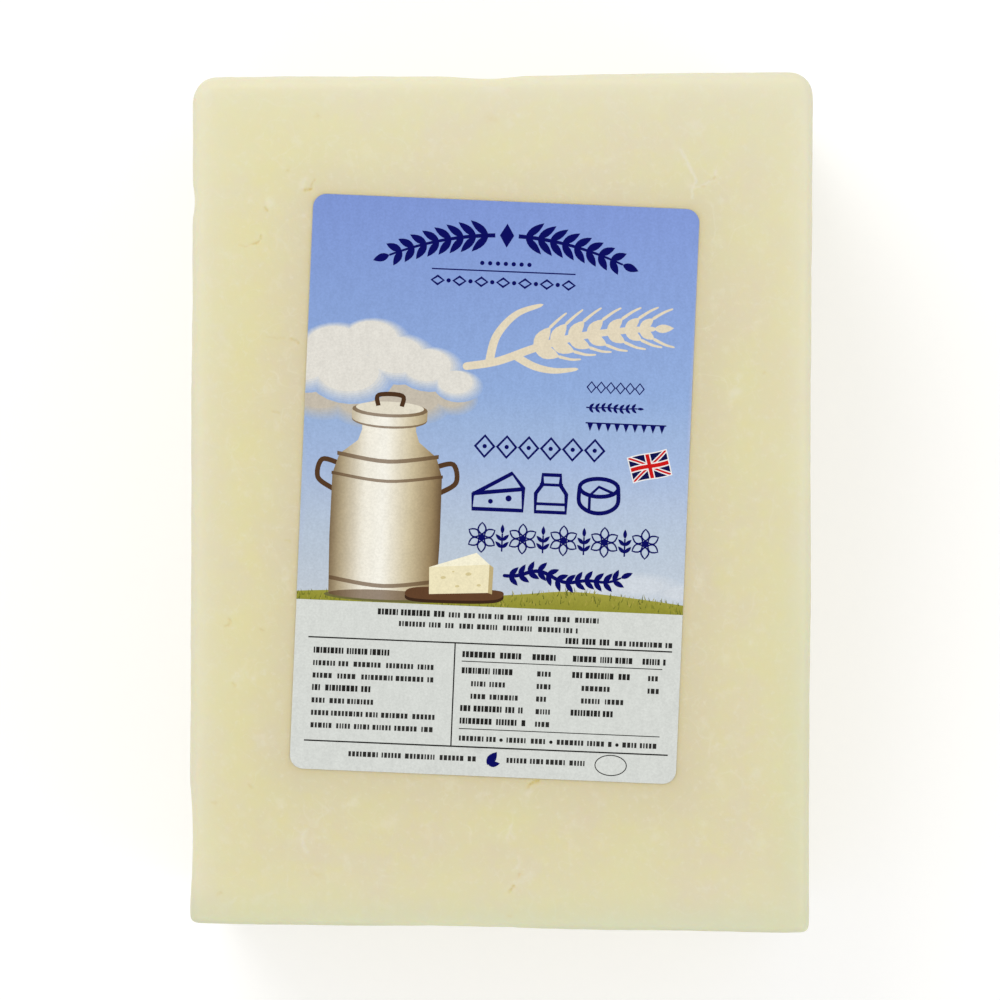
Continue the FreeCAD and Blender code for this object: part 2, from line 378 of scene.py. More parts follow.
def wall_patch(wall):
    marks = wall_marks(wall)
    stations = wall.stations()
    seam_steps = math.ceil(wall.height / WALL_PITCH)
    seam = wall.height * np.arange(1, seam_steps) / seam_steps
    bottom = np.column_stack([np.append(stations, wall.length), np.zeros(len(stations) + 1)])
    right = np.column_stack([np.full(len(seam), wall.length), seam])
    top = bottom[::-1] + np.array([0, wall.height])
    left = np.column_stack([np.zeros(len(seam)), seam[::-1]])
    size = (wall.length, wall.height)

    def keep(points):
        margin = SEAM_GAP * WALL_PITCH
        return ((points > margin) & (points < np.array(size) - margin)).all(axis=1)

    inner = graded_points((0, 0), size, WALL_PITCH, marks, keep)
    flat, faces = fill(np.concatenate([bottom, right, top, left]), inner)
    return Patch(wall.place(*flat.T), faces, read_marks(flat, marks))


def label_distance(points):
    """How far outside the label's edge points of the top face lie, negative under the label."""
    x, y = points[:, 0] - LABEL_CENTRE.x, points[:, 1] - LABEL_CENTRE.y
    c, s = math.cos(LABEL_TURN), math.sin(LABEL_TURN)
    return box_distance(c * x + s * y, c * y - s * x, LABEL_WIDTH / 2, LABEL_LENGTH / 2, LABEL_CORNER)


def cap_distance(points):
    """How far outside the top or bottom face's flat part points lie, negative inside."""
    return box_distance(points[:, 0], points[:, 1], CAP_HALF_X, CAP_HALF_Y, GRID_CORNER)


def top_patch(wall):
    marks = []
    for width, depth, tint, *path in TOP_MARKS:
        marks.append(Mark(path, width, depth, max(tint, 0), max(-tint, 0)))
    ring = wall.ring(wall.height)
    low, high = ring[:, :2].min(axis=0), ring[:, :2].max(axis=0)

    def keep(points):
        return (cap_distance(points) < -SEAM_GAP * TOP_PITCH) & (label_distance(points) > -2)

    inner = graded_points(low, high, TOP_PITCH, marks, keep)
    hidden = staggered_grid(low, high, HIDDEN_PITCH)
    hidden = hidden[label_distance(hidden) < -4]
    flat, faces = fill(ring[:, :2], np.concatenate([inner, hidden]))
    return Patch(at_height(flat, ring[0, 2]), faces, read_marks(flat, marks))


def bottom_patch(wall):
    ring = wall.ring(0.0)
    inner = staggered_grid(ring[:, :2].min(axis=0), ring[:, :2].max(axis=0), HIDDEN_PITCH)
    inner = inner[cap_distance(inner) < -HIDDEN_PITCH / 2]
    flat, faces = fill(ring[:, :2], inner)
    return Patch(at_height(flat, ring[0, 2]), faces[:, ::-1], np.zeros((len(flat), 3)))


def joined(patches):
    """The patches as one closed grid, with the points along their seams made one."""
    points = np.concatenate([patch.points for patch in patches])
    marked = np.concatenate([patch.marked for patch in patches])
    shifts = np.cumsum([0] + [len(patch.points) for patch in patches])
    faces = np.concatenate([patch.faces + shift for patch, shift in zip(patches, shifts)])
    _, first, same = np.unique(np.round(points, 5), axis=0, return_index=True, return_inverse=True)
    faces = same.ravel()[faces]
    used, renumbered = np.unique(faces, return_inverse=True)
    return points[first[used]], renumbered.reshape(faces.shape), marked[first[used]]


def drawn_in(points):
    """The grid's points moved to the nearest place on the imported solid."""
    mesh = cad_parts["cheese_block"].data
    corners = [v.co / MM for v in mesh.vertices]
    tree = BVHTree.FromPolygons(corners, [tuple(p.vertices) for p in mesh.polygons])
    return np.array([tree.find_nearest(Vector(p))[0] for p in points])


def neighbour_mean(points, faces):
    """For each point, the mean of the points that it shares a triangle's side with."""
    total = np.zeros_like(points)
    count = np.zeros(len(points))
    for a, b in ((0, 1), (1, 2), (2, 0)):
        for here, there in ((a, b), (b, a)):
            np.add.at(total, faces[:, here], points[faces[:, there]])
            np.add.at(count, faces[:, here], 1)
    return total / count[:, None]


def point_normals(points, faces):
    a, b, c = (points[faces[:, i]] for i in range(3))
    across = np.cross(b - a, c - a)
    total = np.zeros_like(points)
    for i in range(3):
        np.add.at(total, faces[:, i], across)
    return total / np.linalg.norm(total, axis=1)[:, None]


def sag(points):
    """The slow unevenness of the faces, which the label follows too."""
    return 0.16 * noise_at(points, 47, 3.1) + 0.05 * noise_at(points, 21, 8.4)


def curd_relief(points):
    """Pressed curds: low cushions with faint seams between them."""
    cushions = 0.07 * noise_at(points, 9.5, 5.5) + 0.035 * noise_at(points, 4.3, 1.2)
    return cushions - 0.05 * hump(noise_at(points, 13, 9.9), 0.10) + 0.014 * noise_at(points, 2.1, 6.6)


def wire_ridges(points):
    """Low ridges along X, as a cheese wire leaves them."""
    drag = np.column_stack([points[:, 0] / 8, points[:, 1], points[:, 2]])
    return 0.07 * noise_at(drag, 5.0, 2.2) + 0.03 * noise_at(drag, 1.9, 4.9)


def make_cheese():
    """The block: the grid drawn in onto the solid, smoothed, and raised and cut by its relief and marks."""
    wall = Wall()
    points, faces, marked = joined([bottom_patch(wall), wall_patch(wall), top_patch(wall)])
    points = drawn_in(points)
    for _ in range(SMOOTHING_ROUNDS):
        points += 0.5 * (neighbour_mean(points, faces) - points)
    normals = point_normals(points, faces)

    away = label_distance(points)
    on_top = ease(TOP - 1.5, TOP - 0.3, points[:, 2])
    covered = on_top * (1 - ease(-0.4, 1.2, away))
    side = 1 - ease(TOP - 6.0, TOP - 1.0, points[:, 2])
    off_floor = ease(0.4, 5.0, points[:, 2])
    front = ease(0.6, 0.9, -normals[:, 1])
    relief = (1 + SIDE_RELIEF * side) * curd_relief(points) + wire_ridges(points) * front - marked[:, 0]
    shift = sag(points) + (1 - covered) * relief - LABEL_PRESS * covered
    points += (off_floor * shift)[:, None] * normals

    gap, next_gap = edge_gaps(points)
    away = np.maximum(away, 0)
    # The right edge of the top face gets the greener painted edge light too.
    right = 0.7 * ease(55.0, 66.0, points[:, 0]) * ease(40.0, -60.0, points[:, 1])
    cheese = new_mesh_object("cheese", points, faces)
    looks = {
        "deep": marked[:, 1],
        "pale": marked[:, 2],
        # Painted light: rim and margin pale the cheese near its edges, as light that comes through the curd
        # would.
        "rim": hump(gap, 3.0),
        "margin": 1 - (1 - np.exp(-gap / 9.0)) * (1 - np.exp(-next_gap / 9.0)),
        # Painted shade: this mask and the next darken the cheese next to the label, where the paper keeps
        # light out of the curd.
        "label_edge_painted_shade": on_top * np.exp(-away / 0.9),
        "shade": on_top * hump(away, 7.0),
        "cut": front,
        "warm": warm_tone(points, on_top),
        # Painted light: the pale edge light is greener at the front and right.
        "fore": np.maximum(ease(-84.0, -93.0, points[:, 1]), right) * (1 - side),
        # Painted light: the back of the block is paler, as if lit more.
        "aft": ease(30.0, 96.0, points[:, 1]),
        "side": side,
    }
    for name, values in looks.items():
        store(cheese.data, name, values)
    return cheese


def edge_gaps(points):
    """How far each surface point lies from the block's nearest edge and from the next nearest."""
    x, y, z = points.T
    gaps = [BLOCK_HIGH.x - np.abs(x), BLOCK_HIGH.y - 0.8 - np.abs(y), np.minimum(TOP - z, z)]
    gaps = np.maximum(np.sort(np.column_stack(gaps), axis=1), 0)
    return gaps[:, 1], gaps[:, 2]


def warm_tone(points, on_top):
    """Where the face is yellower: a band inside the left and right edges and a patch at the back left."""
    x, y = points[:, 0], points[:, 1]
    left = hump(x - BLOCK_LOW.x - 12, 8)
    right = 0.6 * hump(BLOCK_HIGH.x - 7 - x, 4)
    corner = hump(np.hypot(x + 50, y - 82), 14)
    return on_top * np.clip(left + right + 0.8 * corner, 0, 1)


# ---- material helpers


class Nodes:
    """A node tree, with a short call for each usual node. Values may be numbers, colours or sockets."""

    def __init__(self, tree):
        self.tree = tree

    def put(self, inputs, sockets):
        """Sets sockets to their values, or links them to other nodes' sockets."""
        for name, value in sockets.items():
            if isinstance(value, bpy.types.NodeSocket):
                self.tree.links.new(value, inputs[name])
            else:
                inputs[name].default_value = value

    def add(self, kind, sockets=None, **settings):
        """A new node's outputs, once its settings and sockets are set."""
        made = self.tree.nodes.new("ShaderNode" + kind)
        for name, value in settings.items():
            setattr(made, name, value)
        self.put(made.inputs, sockets or {})
        return made.outputs

    def mix(self, share, first, second):
        return self.add("Mix", {0: share, 6: first, 7: second}, data_type="RGBA")[2]

    def maths(self, operation, first, second=0.0):
        return self.add("Math", {0: first, 1: second}, operation=operation)[0]

    def times(self, first, second):
        return self.maths("MULTIPLY", first, second)

    def seen_white(self):
        """1 for a ray that shows the background: straight, in a reflection or through glass."""
        path = self.add("LightPath")
        seen = self.maths("MAXIMUM", path["Is Camera Ray"], path["Is Glossy Ray"])
        return self.maths("MAXIMUM", seen, path["Is Transmission Ray"])


class Material(Nodes):
    """A new material. Patterns lie in the object's own coordinates, with wavelengths in millimetres."""

    def __init__(self, name):
        self.material = bpy.data.materials.new(name)
        self.material.use_nodes = True
        super().__init__(self.material.node_tree)
        self.where = self.add("TexCoord")["Object"]

    def finished(self, sockets):
        """The material, once the shader's sockets are set."""
        self.put(self.tree.nodes["Principled BSDF"].inputs, sockets)
        return self.material

    def grain(self, wavelength, detail=2.0, roughness=0.5, where=None):
        """Noise about 0.5."""
        sockets = {"Scale": 1 / (wavelength * MM), "Detail": detail, "Roughness": roughness}
        return self.add("TexNoise", {"Vector": where or self.where, **sockets})["Fac"]

    def between(self, value, low, high, to_low=0.0, to_high=1.0):
        """value stretched from low..high to to_low..to_high, smooth and clamped."""
        sockets = {"Value": value, "From Min": low, "From Max": high, "To Min": to_low, "To Max": to_high}
        return self.add("MapRange", sockets, interpolation_type="SMOOTHSTEP")["Result"]

    def stored(self, name, output="Fac"):
        return self.add("Attribute", attribute_name=name)[output]

    def stretched(self, *scales):
        return self.add("Mapping", {"Vector": self.where, "Scale": scales})["Vector"]

    def bump(self, height, strength, distance):
        """A bumpy normal, with its distance in millimetres."""
        return self.add("Bump", {"Height": height, "Strength": strength, "Distance": distance * MM})["Normal"]


# ---- the cheese's material

CHEESE_YELLOW = linear(223, 216, 170)
CHEESE_BEIGE = linear(222, 211, 178)
# Painted light: a paler colour for the sides, to offset the lesser light on them.
CHEESE_SIDE_PAINTED_LIGHT = linear(229, 218, 181)
CHEESE_WARM = linear(224, 216, 159)
CHEESE_PALE = linear(233, 228, 210)
# Painted light: pale colours for the rims and edges, greener at the front, where light comes through the
# curd.
CHEESE_RIM_PAINTED_LIGHT = linear(233, 230, 205)
CHEESE_FORE_PAINTED_LIGHT = linear(218, 222, 193)
CHEESE_DEEP = linear(214, 193, 112)
# Painted shade round the label: close to its edge, and wider.
CHEESE_LABEL_PAINTED_SHADE = linear(214, 195, 145)
CHEESE_SHADE = linear(214, 204, 173)
CHEESE_JOINT = linear(219, 205, 152)


def curd_joints(m):
    """Faint wandering lines where the pressed curds meet, 1 on a line and 0 away from it."""
    bend = m.add("TexNoise", {"Vector": m.where, "Scale": 1 / (7 * MM), "Detail": 2.0})["Color"]
    pull = m.add("VectorMath", {0: bend, "Scale": 9 * MM}, operation="SCALE")[0]
    bent = m.add("VectorMath", {0: m.where, 1: pull}, operation="ADD")[0]
    cells = m.add("TexVoronoi", {"Vector": bent, "Scale": 1 / (13 * MM)}, feature="DISTANCE_TO_EDGE")
    lines = m.between(cells["Distance"], 0.0, 0.07, 1.0, 0.0)
    return m.times(lines, m.between(m.grain(6), 0.42, 0.62))


def curd_threads(m, wavelength):
    """Short whitish threads, where noise crosses its middle."""
    off_middle = m.maths("ABSOLUTE", m.maths("SUBTRACT", m.grain(wavelength, 1), 0.5))
    threads = m.between(off_middle, 0.0, 0.022, 0.22, 0.0)
    return m.times(threads, m.between(m.grain(1.3 * wavelength + 1), 0.46, 0.66))


def cheese_material():
    """Firm pale curd: yellow and beige patches, whitish flecks and light that enters a little, with painted
    light that pales the rims, edges, back and sides and painted shade round the label.
    """
    m = Material("cheese_surface")
    side, cut = m.stored("side"), m.stored("cut")
    joints = m.times(curd_joints(m), side)
    uneven = m.between(m.grain(12), 0.25, 0.6, 0.65, 1.0)
    crumbly = m.between(m.grain(0.7, 2, 0.6), 0.3, 0.62, 0.35, 1.0)
    streaks = m.between(m.grain(2.4, 3, 0.6, m.stretched(0.06, 1, 1)), 0.5, 0.72, 0, 0.4)
    # The painted rim light, greener at the front and right.
    painted_rim_light = m.mix(m.stored("fore"), CHEESE_RIM_PAINTED_LIGHT, CHEESE_FORE_PAINTED_LIGHT)

    # Each layer covers a share of what lies below it.
    layers = [
        (m.between(m.grain(17, 3, 0.55), 0.32, 0.68), CHEESE_YELLOW),
        # Painted light: the sides paler, to offset their lesser light.
        (m.times(side, 0.6), CHEESE_SIDE_PAINTED_LIGHT),
        (m.between(m.grain(3.6, 3, 0.6), 0.45, 0.75, 0, 0.5), CHEESE_WARM),
        (m.times(m.stored("warm"), m.between(m.grain(8), 0.3, 0.7, 0.3, 0.9)), CHEESE_WARM),
        # Painted shade round the label.
        (m.times(m.stored("shade"), 0.65), CHEESE_SHADE),
        (curd_threads(m, 7.5), CHEESE_PALE),
        (curd_threads(m, 3.4), CHEESE_PALE),
        (m.between(m.grain(4.6, 3, 0.6), 0.54, 0.76, 0, 0.3), CHEESE_PALE),
        (m.between(m.grain(1.4, 3, 0.6), 0.54, 0.76, 0, 0.3), CHEESE_PALE),
        (m.times(joints, 0.5), CHEESE_JOINT),
        (m.times(cut, streaks), CHEESE_PALE),
        # Painted light: paler towards the back.
        (m.times(m.stored("aft"), 0.2), CHEESE_RIM_PAINTED_LIGHT),
        # Painted light: paler near the edges and over the rims.
        (m.times(m.stored("margin"), 0.6), painted_rim_light),
        (m.times(m.stored("rim"), m.times(uneven, 0.45)), painted_rim_light),
        (m.stored("pale"), CHEESE_PALE),
        # Painted shade along the label's edge.
        (m.times(m.stored("label_edge_painted_shade"), 0.7), CHEESE_LABEL_PAINTED_SHADE),
        (m.times(m.stored("deep"), crumbly), CHEESE_DEEP),
    ]
    colour = CHEESE_BEIGE
    for share, over in layers:
        colour = m.mix(share, colour, over)

    furrows = m.times(m.grain(0.9, 3, 0.6, m.stretched(0.05, 1, 1)), m.times(cut, 1.3))
    skin = m.maths("ADD", m.grain(1.1, 4, 0.6), m.times(m.grain(0.35), 0.35))
    height = m.maths("SUBTRACT", m.maths("ADD", skin, furrows), m.times(joints, 0.9))
    sockets = {
        "Base Color": colour,
        "Roughness": m.between(m.grain(2.6, 3, 0.6), 0.3, 0.7, 0.40, 0.56),
        "Normal": m.bump(height, 0.35, 0.12),
        "IOR": 1.42,
        "Subsurface Weight": 0.55,
        "Subsurface Radius": (1.0, 0.72, 0.36),
        "Subsurface Scale": 2.6 * MM,
    }
    return m.finished(sockets)


# ---- shapes for the label's print


def turned(shape, u, v, angle):
    """A shape turned about its origin, clockwise in radians, and moved to (u, v)."""
    c, s = math.cos(angle), math.sin(angle)
    return [(u + c * x - s * y, v + s * x + c * y) for x, y in shape]


def disc(u, v, radius, radius_v=None, turn=0.0, steps=None):
    """An oval, or a circle."""
    radius_v = radius if radius_v is None else radius_v
    steps = steps or max(8, int(7 * math.sqrt(max(radius, radius_v)) + 6))
    angles = [2 * math.pi * k / steps for k in range(steps)]
    return turned([(radius * math.cos(a), radius_v * math.sin(a)) for a in angles], u, v, turn)


def bar(u0, v0, u1, v1):
    return [(u0, v0), (u1, v0), (u1, v1), (u0, v1)]


def lozenge(u, v, half_u, half_v):
    return [(u - half_u, v), (u, v - half_v), (u + half_u, v), (u, v + half_v)]


def leaf(u, v, length, width, angle):
    """A pointed leaf that grows from (u, v)."""
    side = [(0.0, 0.0), (0.10, 0.46), (0.25, 0.84), (0.42, 1.0), (0.60, 0.90), (0.80, 0.56), (1.0, 0.0)]
    outline = side + [(a, -b) for a, b in reversed(side[1:-1])]
    return turned([(a * length, b * width / 2) for a, b in outline], u, v, angle)


def curve(points, closed=False, steps=6):
    """A smooth line through given points."""
    count = len(points)
    made = []
    for i in range(count if closed else count - 1):
        ids = range(i - 1, i + 3)
        p = [points[k % count] if closed else points[min(max(k, 0), count - 1)] for k in ids]
        for step in range(steps):
            t = step / steps
            w = (
                (-t + 2 * t * t - t**3) / 2,
                (2 - 5 * t * t + 3 * t**3) / 2,
                (t + 4 * t * t - 3 * t**3) / 2,
                (t**3 - t * t) / 2,
            )
            made.append(tuple(sum(w[k] * p[k][axis] for k in range(4)) for axis in (0, 1)))
    return made if closed else made + [tuple(points[-1])]


def stroke(path, width, closed=False):
    """A drawn line, as one four-sided piece for each stretch. width is a number or one for each point."""
    widths = width if isinstance(width, (list, tuple)) else [width] * len(path)
    count = len(path)
    sides = []
    for i, (u, v) in enumerate(path):
        before = path[(i - 1) % count] if closed or i > 0 else path[i]
        after = path[(i + 1) % count] if closed or i < count - 1 else path[i]
        du, dv = after[0] - before[0], after[1] - before[1]
        size = math.hypot(du, dv) or 1.0
        nu, nv = -dv / size * widths[i] / 2, du / size * widths[i] / 2
        sides.append(((u + nu, v + nv), (u - nu, v - nv)))
    pieces = []
    for i in range(count if closed else count - 1):
        (a, b), (c, d) = sides[i], sides[(i + 1) % count]
        pieces.append([a, c, d, b])
    return pieces


def brush(path, width, start=0.5, end=0.35):
    """A brush stroke: round at its start, swelling a little, and thinner towards its end."""
    count = len(path)
    widths = []
    for i in range(count):
        t = i / (count - 1)
        swell = math.sin(math.pi * min(1.0, 0.15 + 0.85 * t)) ** 0.35
        widths.append(width * ((1 - t) * start + t * end + (1 - max(start, end)) * swell))
    ends = [disc(*path[0], widths[0] / 2), disc(*path[-1], widths[-1] / 2)]
    return stroke(path, widths) + ends


class Artwork:
    """Shapes in painting order, each with an ink and the number of the shape that clips it.

    An ink is a colour, 0 to 255, or a function that gives one at (u, v). Shape 0 is the paper."""

    def __init__(self):
        self.outlines = []
        self.inks = []
        self.clips = []

    def paint(self, ink, outline, clip=0):
        """Adds a shape and returns its number."""
        self.outlines.append([(u - LABEL_WIDTH / 2, LABEL_LENGTH / 2 - v) for u, v in outline])
        self.inks.append(ink if callable(ink) else lambda u, v: ink)
        self.clips.append(clip)
        return len(self.outlines) - 1

    def paint_all(self, ink, outlines, clip=0):
        for outline in outlines:
            self.paint(ink, outline, clip)

    def line(self, ink, path, width, closed=False, clip=0):
        self.paint_all(ink, stroke(path, width, closed), clip)


def label_outline():
    """The label's edge, with its round corners."""
    outline = []
    for right, down, first in [(1, 1, 0), (0, 1, 90), (0, 0, 180), (1, 0, 270)]:
        u = LABEL_WIDTH - LABEL_CORNER if right else LABEL_CORNER
        v = LABEL_LENGTH - LABEL_CORNER if down else LABEL_CORNER
        for k in range(9):
            a = math.radians(first + 90 * k / 8)
            outline.append((u + LABEL_CORNER * math.cos(a), v + LABEL_CORNER * math.sin(a)))
    return outline


# ---- the label's inks

PAPER_EDGE = (236, 235, 228)
PANEL = (215, 218, 213)
NAVY = (0, 2, 92)
INK = (30, 29, 27)
FAINT_INK = (42, 41, 39)
CREAM = (226, 214, 188)
BROWN = (74, 48, 27)
FLAG_WHITE, FLAG_BLUE, FLAG_RED = (240, 238, 236), (6, 8, 72), (203, 20, 20)

# Colours by distance from the label's back edge.
SKY_STOPS = [
    (0, (127, 150, 212)),
    (26, (137, 163, 215)),
    (42, (144, 171, 217)),
    (50, (155, 179, 217)),
    (58, (163, 184, 219)),
    (66, (176, 192, 217)),
    (74, (184, 198, 215)),
    (88, (194, 203, 213)),
]

# Colours from the churn's left edge, 0, to its right one, 1.
CHURN_LEFT, CHURN_RIGHT = 6.5, 31.5
ENAMEL_STOPS = [
    (0.0, (120, 100, 72)),
    (0.10, (176, 160, 128)),
    (0.30, (238, 233, 218)),
    (0.48, (246, 243, 232)),
    (0.72, (206, 192, 158)),
    (0.92, (150, 128, 92)),
    (1.0, (98, 76, 52)),
]


def ramp(stops, place):
    """The colour at a place between stops, each a place and its colour."""
    places, colours = zip(*stops)
    return tuple(float(np.interp(place, places, channel)) for channel in zip(*colours))


def blend(first, second, share):
    return tuple(a + (b - a) * share for a, b in zip(first, second))


def sky(u, v):
    """Blue above, pale at the skyline, and a little lighter towards the right."""
    lift = 5 * (u / LABEL_WIDTH - 0.4)
    return tuple(c + lift for c in ramp(SKY_STOPS, v))


def enamel(u, v):
    """Cream, shaded as on a round body."""
    return ramp(ENAMEL_STOPS, (u - CHURN_LEFT) / (CHURN_RIGHT - CHURN_LEFT))


def enamel_dark(u, v):
    return blend(enamel(u, v), BROWN, 0.55)


def grass(u, v):
    return blend((143, 142, 49), (165, 160, 70), min(max((PICTURE_LENGTH - v) / 5, 0), 1))


def cloud(body, share):
    return lambda u, v: blend(sky(u, v), body, share)


# ---- the label's pictures


def draw_clouds(art, field):
    """Cloud at the left in layers, each a little smaller and lighter, and a thin bank on the skyline."""
    shaded = [(4, 44.5, 8), (14, 45.5, 8.5), (25, 45, 7.5), (33, 44.5, 5)]
    lit = [(-1, 38, 9), (7, 34.5, 8.5), (15, 32.5, 7.5), (20.5, 36, 8), (27.5, 38, 7)]
    lit += [(34, 41.5, 5), (10, 40, 9)]
    for puffs, body in ((shaded, (198, 187, 168)), (lit, (229, 224, 212))):
        for layer in range(7):
            for u, v, size in puffs:
                radius = size * (1.10 - 0.055 * layer)
                shape = disc(u - 0.12 * layer, v - 0.14 * layer, radius, 0.66 * radius, 0, 24)
                art.paint(cloud(body, 0.14 + 0.135 * layer), shape, field)
    for layer in range(4):
        for u, v, size in [(64, 85.4, 8), (76, 84.2, 9), (86, 85.5, 7)]:
            radius = size * (1.1 - 0.16 * layer)
            shape = disc(u, v, radius, 0.3 * radius, 0, 22)
            art.paint(cloud((222, 225, 228), 0.15 + 0.12 * layer), shape, field)


def draw_meadow(art, field):
    """A low green hump along the foot of the picture, with blades of grass on its skyline."""
    ridge = curve([(-2, 88.6), (12, 87.9), (30, 88.8), (48, 87.4), (60, 86.2), (72, 86.8), (88, 88.4)])
    art.paint(grass, ridge + [(88, 92), (-2, 92)], field)
    chance = random.Random(12)
    tones = [(112, 116, 40), (142, 138, 50), (168, 158, 72), (94, 100, 36)]
    for _ in range(420):
        u = chance.uniform(-1, 87)
        v = float(np.interp(u, *zip(*ridge))) + chance.uniform(-0.1, 3.2)
        height = chance.uniform(0.5, 1.5)
        tip = u + chance.uniform(-0.5, 0.6)
        art.paint(chance.choice(tones), [(u - 0.13, v), (tip, v - height), (u + 0.13, v)], field)


def draw_churn(art, field):
    """A cream enamel milk churn with dark brown bands and handles."""
    middle = (CHURN_LEFT + CHURN_RIGHT) / 2
    half_neck = 8.4
    handle = [(10.6, 59.8), (14.6, 59.0), (15.4, 63.0), (12.0, 65.4)]
    for side in (-1, 1):
        art.line((82, 56, 34), curve([(middle + side * a, b) for a, b in handle]), 1.1, False, field)
    art.paint((108, 104, 60), disc(middle + 2, 88.9, 15, 1.3), field)
    body = [(7, 88.6), (6.7, 76), (6.8, 62), (8.2, 57.6), (12.2, 54.4), (13.0, 52), (13.0, 49.6)]
    art.paint(enamel, body + [(2 * middle - u, v) for u, v in reversed(body)], field)
    art.paint(enamel_dark, disc(middle, 88.6, 12, 1.1), field)
    for v, half, thick in [(57.9, 11.3, 0.9), (62.2, 12.4, 0.7), (85.6, 12.0, 0.9)]:
        low = curve([(middle - half, v), (middle, v + 1.5), (middle + half, v)])
        art.paint(enamel_dark, low + [(u, w - thick) for u, w in reversed(low)], field)
    art.paint(enamel_dark, disc(middle, 49.6, half_neck, 2.0), field)
    art.paint(enamel, bar(middle - half_neck, 47.4, middle + half_neck, 49.4), field)
    art.paint(enamel, disc(middle, 49.4, half_neck, 1.7), field)
    art.paint(enamel_dark, disc(middle, 47.4, half_neck, 1.7), field)
    art.paint((226, 219, 200), disc(middle, 47.0, 7.6, 1.4), field)
    knob = curve([(middle - 2.6, 46.6), (middle - 2.6, 44.2), (middle + 2.6, 44.2), (middle + 2.6, 46.6)])
    art.line(BROWN, knob, 1.0, False, field)


def draw_wedge(art, field):
    """A wedge of pale cheese on a dark board."""
    board = curve([(25, 87.6), (32, 87.0), (43, 87.2), (46, 87.8), (44, 89.4), (34, 89.9), (25, 89.6)], True)
    left, right, peak = (29.2, 82.0), (42.6, 80.9), (39.6, 78.4)
    foot = (42.5, 87.2)
    art.paint((58, 36, 22), board, field)
    art.paint((96, 64, 40), [(u, v - 0.7) for u, v in board], field)
    art.paint((238, 228, 190), [left, right, foot, (29.4, 88.0)], field)
    art.paint((247, 241, 214), [left, peak, right], field)
    art.paint((190, 172, 124), [right, (43.5, 81.5), (43.4, 87.5), foot], field)
    holes = [(32.4, 84.2, 0.6), (35.6, 86.0, 0.5), (38, 83.2, 0.7), (40.4, 85.6, 0.5), (34.6, 82.8, 0.3)]
    for u, v, half in holes:
        art.paint((214, 200, 150), disc(u, v, half, 0.55 * half, -0.1), field)


def draw_flag(art):
    """The small waving national flag, in its own slightly turned frame of shares of its width and height."""
    corners = [(72.4, 56.0), (80.7, 53.8), (82.1, 59.1), (73.9, 61.2)]
    aspect, wave, edge, over = 1.6, 0.12, 0.028, 0.02

    def at(a, b):
        top = blend(corners[0], corners[1], a)
        low = blend(corners[3], corners[2], a)
        u, v = blend(top, low, b)
        return (u, v - wave * math.sin(2 * math.pi * a))

    def patch(outline):
        """An outline on the label, with its sides divided to follow the wave."""
        points = []
        for (a, b), (c, d) in zip(outline, outline[1:] + outline[:1]):
            points += [at(a + (c - a) * k / 8, b + (d - b) * k / 8) for k in range(8)]
        return points

    def band(a, b, c, d, half):
        """A band between two points. half is half its width, as a share of the flag's height."""
        du, dv = (c - a) * aspect, d - b
        size = math.hypot(du, dv)
        na, nb = -dv / size * half / aspect, du / size * half
        return [(a + na, b + nb), (c + na, d + nb), (c - na, d - nb), (a - na, b - nb)]

    art.paint(FLAG_WHITE, patch(bar(-edge, -aspect * edge, 1 + edge, 1 + aspect * edge)))
    field = art.paint(FLAG_BLUE, patch(bar(0, 0, 1, 1)))
    for ink, half in ((FLAG_WHITE, 0.085), (FLAG_RED, 0.04)):
        for ends in ((-0.1, -0.1, 1.1, 1.1), (-0.1, 1.1, 1.1, -0.1)):
            art.paint(ink, patch(band(*ends, half)), field)
    crosses = ((FLAG_WHITE, 0.42, 0.58, 0.37, 0.63), (FLAG_RED, 0.45, 0.55, 0.42, 0.58))
    for ink, left, right, top, low in crosses:
        art.paint(ink, patch(bar(left, -over, right, 1 + over)), field)
        art.paint(ink, patch(bar(-over, top, 1 + over, low)), field)


# ---- the label's ornament


def draw_arch(art):
    """Two leafy sprigs that meet in an arch over a thin rule, with rows of dots and lozenges."""
    middle, crown, drop, reach = 43.4, 7.6, 5.4, 26.0

    def stem(t):
        return (middle + reach * t, crown + drop * t * t)

    for side in (-1, 1):
        path = [stem(side * (0.10 + 0.90 * k / 20)) for k in range(21)]
        art.line(NAVY, path, [0.95 - 0.025 * k for k in range(21)])
        for k in range(8):
            t = side * (0.16 + 0.105 * k)
            slope = math.atan2(2 * drop * t / reach, 1) + (0 if side > 0 else math.pi)
            for lean in (-0.74, 0.74):
                art.paint(NAVY, leaf(*stem(t), 5.2 - 0.2 * k, 1.7, slope + lean))
        art.paint(NAVY, leaf(*stem(side), 3.8, 1.8, slope))
    art.paint(NAVY, lozenge(middle, crown, 1.6, 2.7))
    art.paint_all(NAVY, [disc(middle + 1.75 * k, 13.9, 0.5) for k in range(-3, 4)])
    art.paint(NAVY, bar(27, 15.45, 59, 15.75))
    for k in range(13):
        u = 28.4 + 2.43 * k
        if k % 2:
            art.paint(NAVY, disc(u, 18.1, 0.5))
        else:
            art.line(NAVY, lozenge(u, 18.1, 1.35, 0.95), 0.55, True)


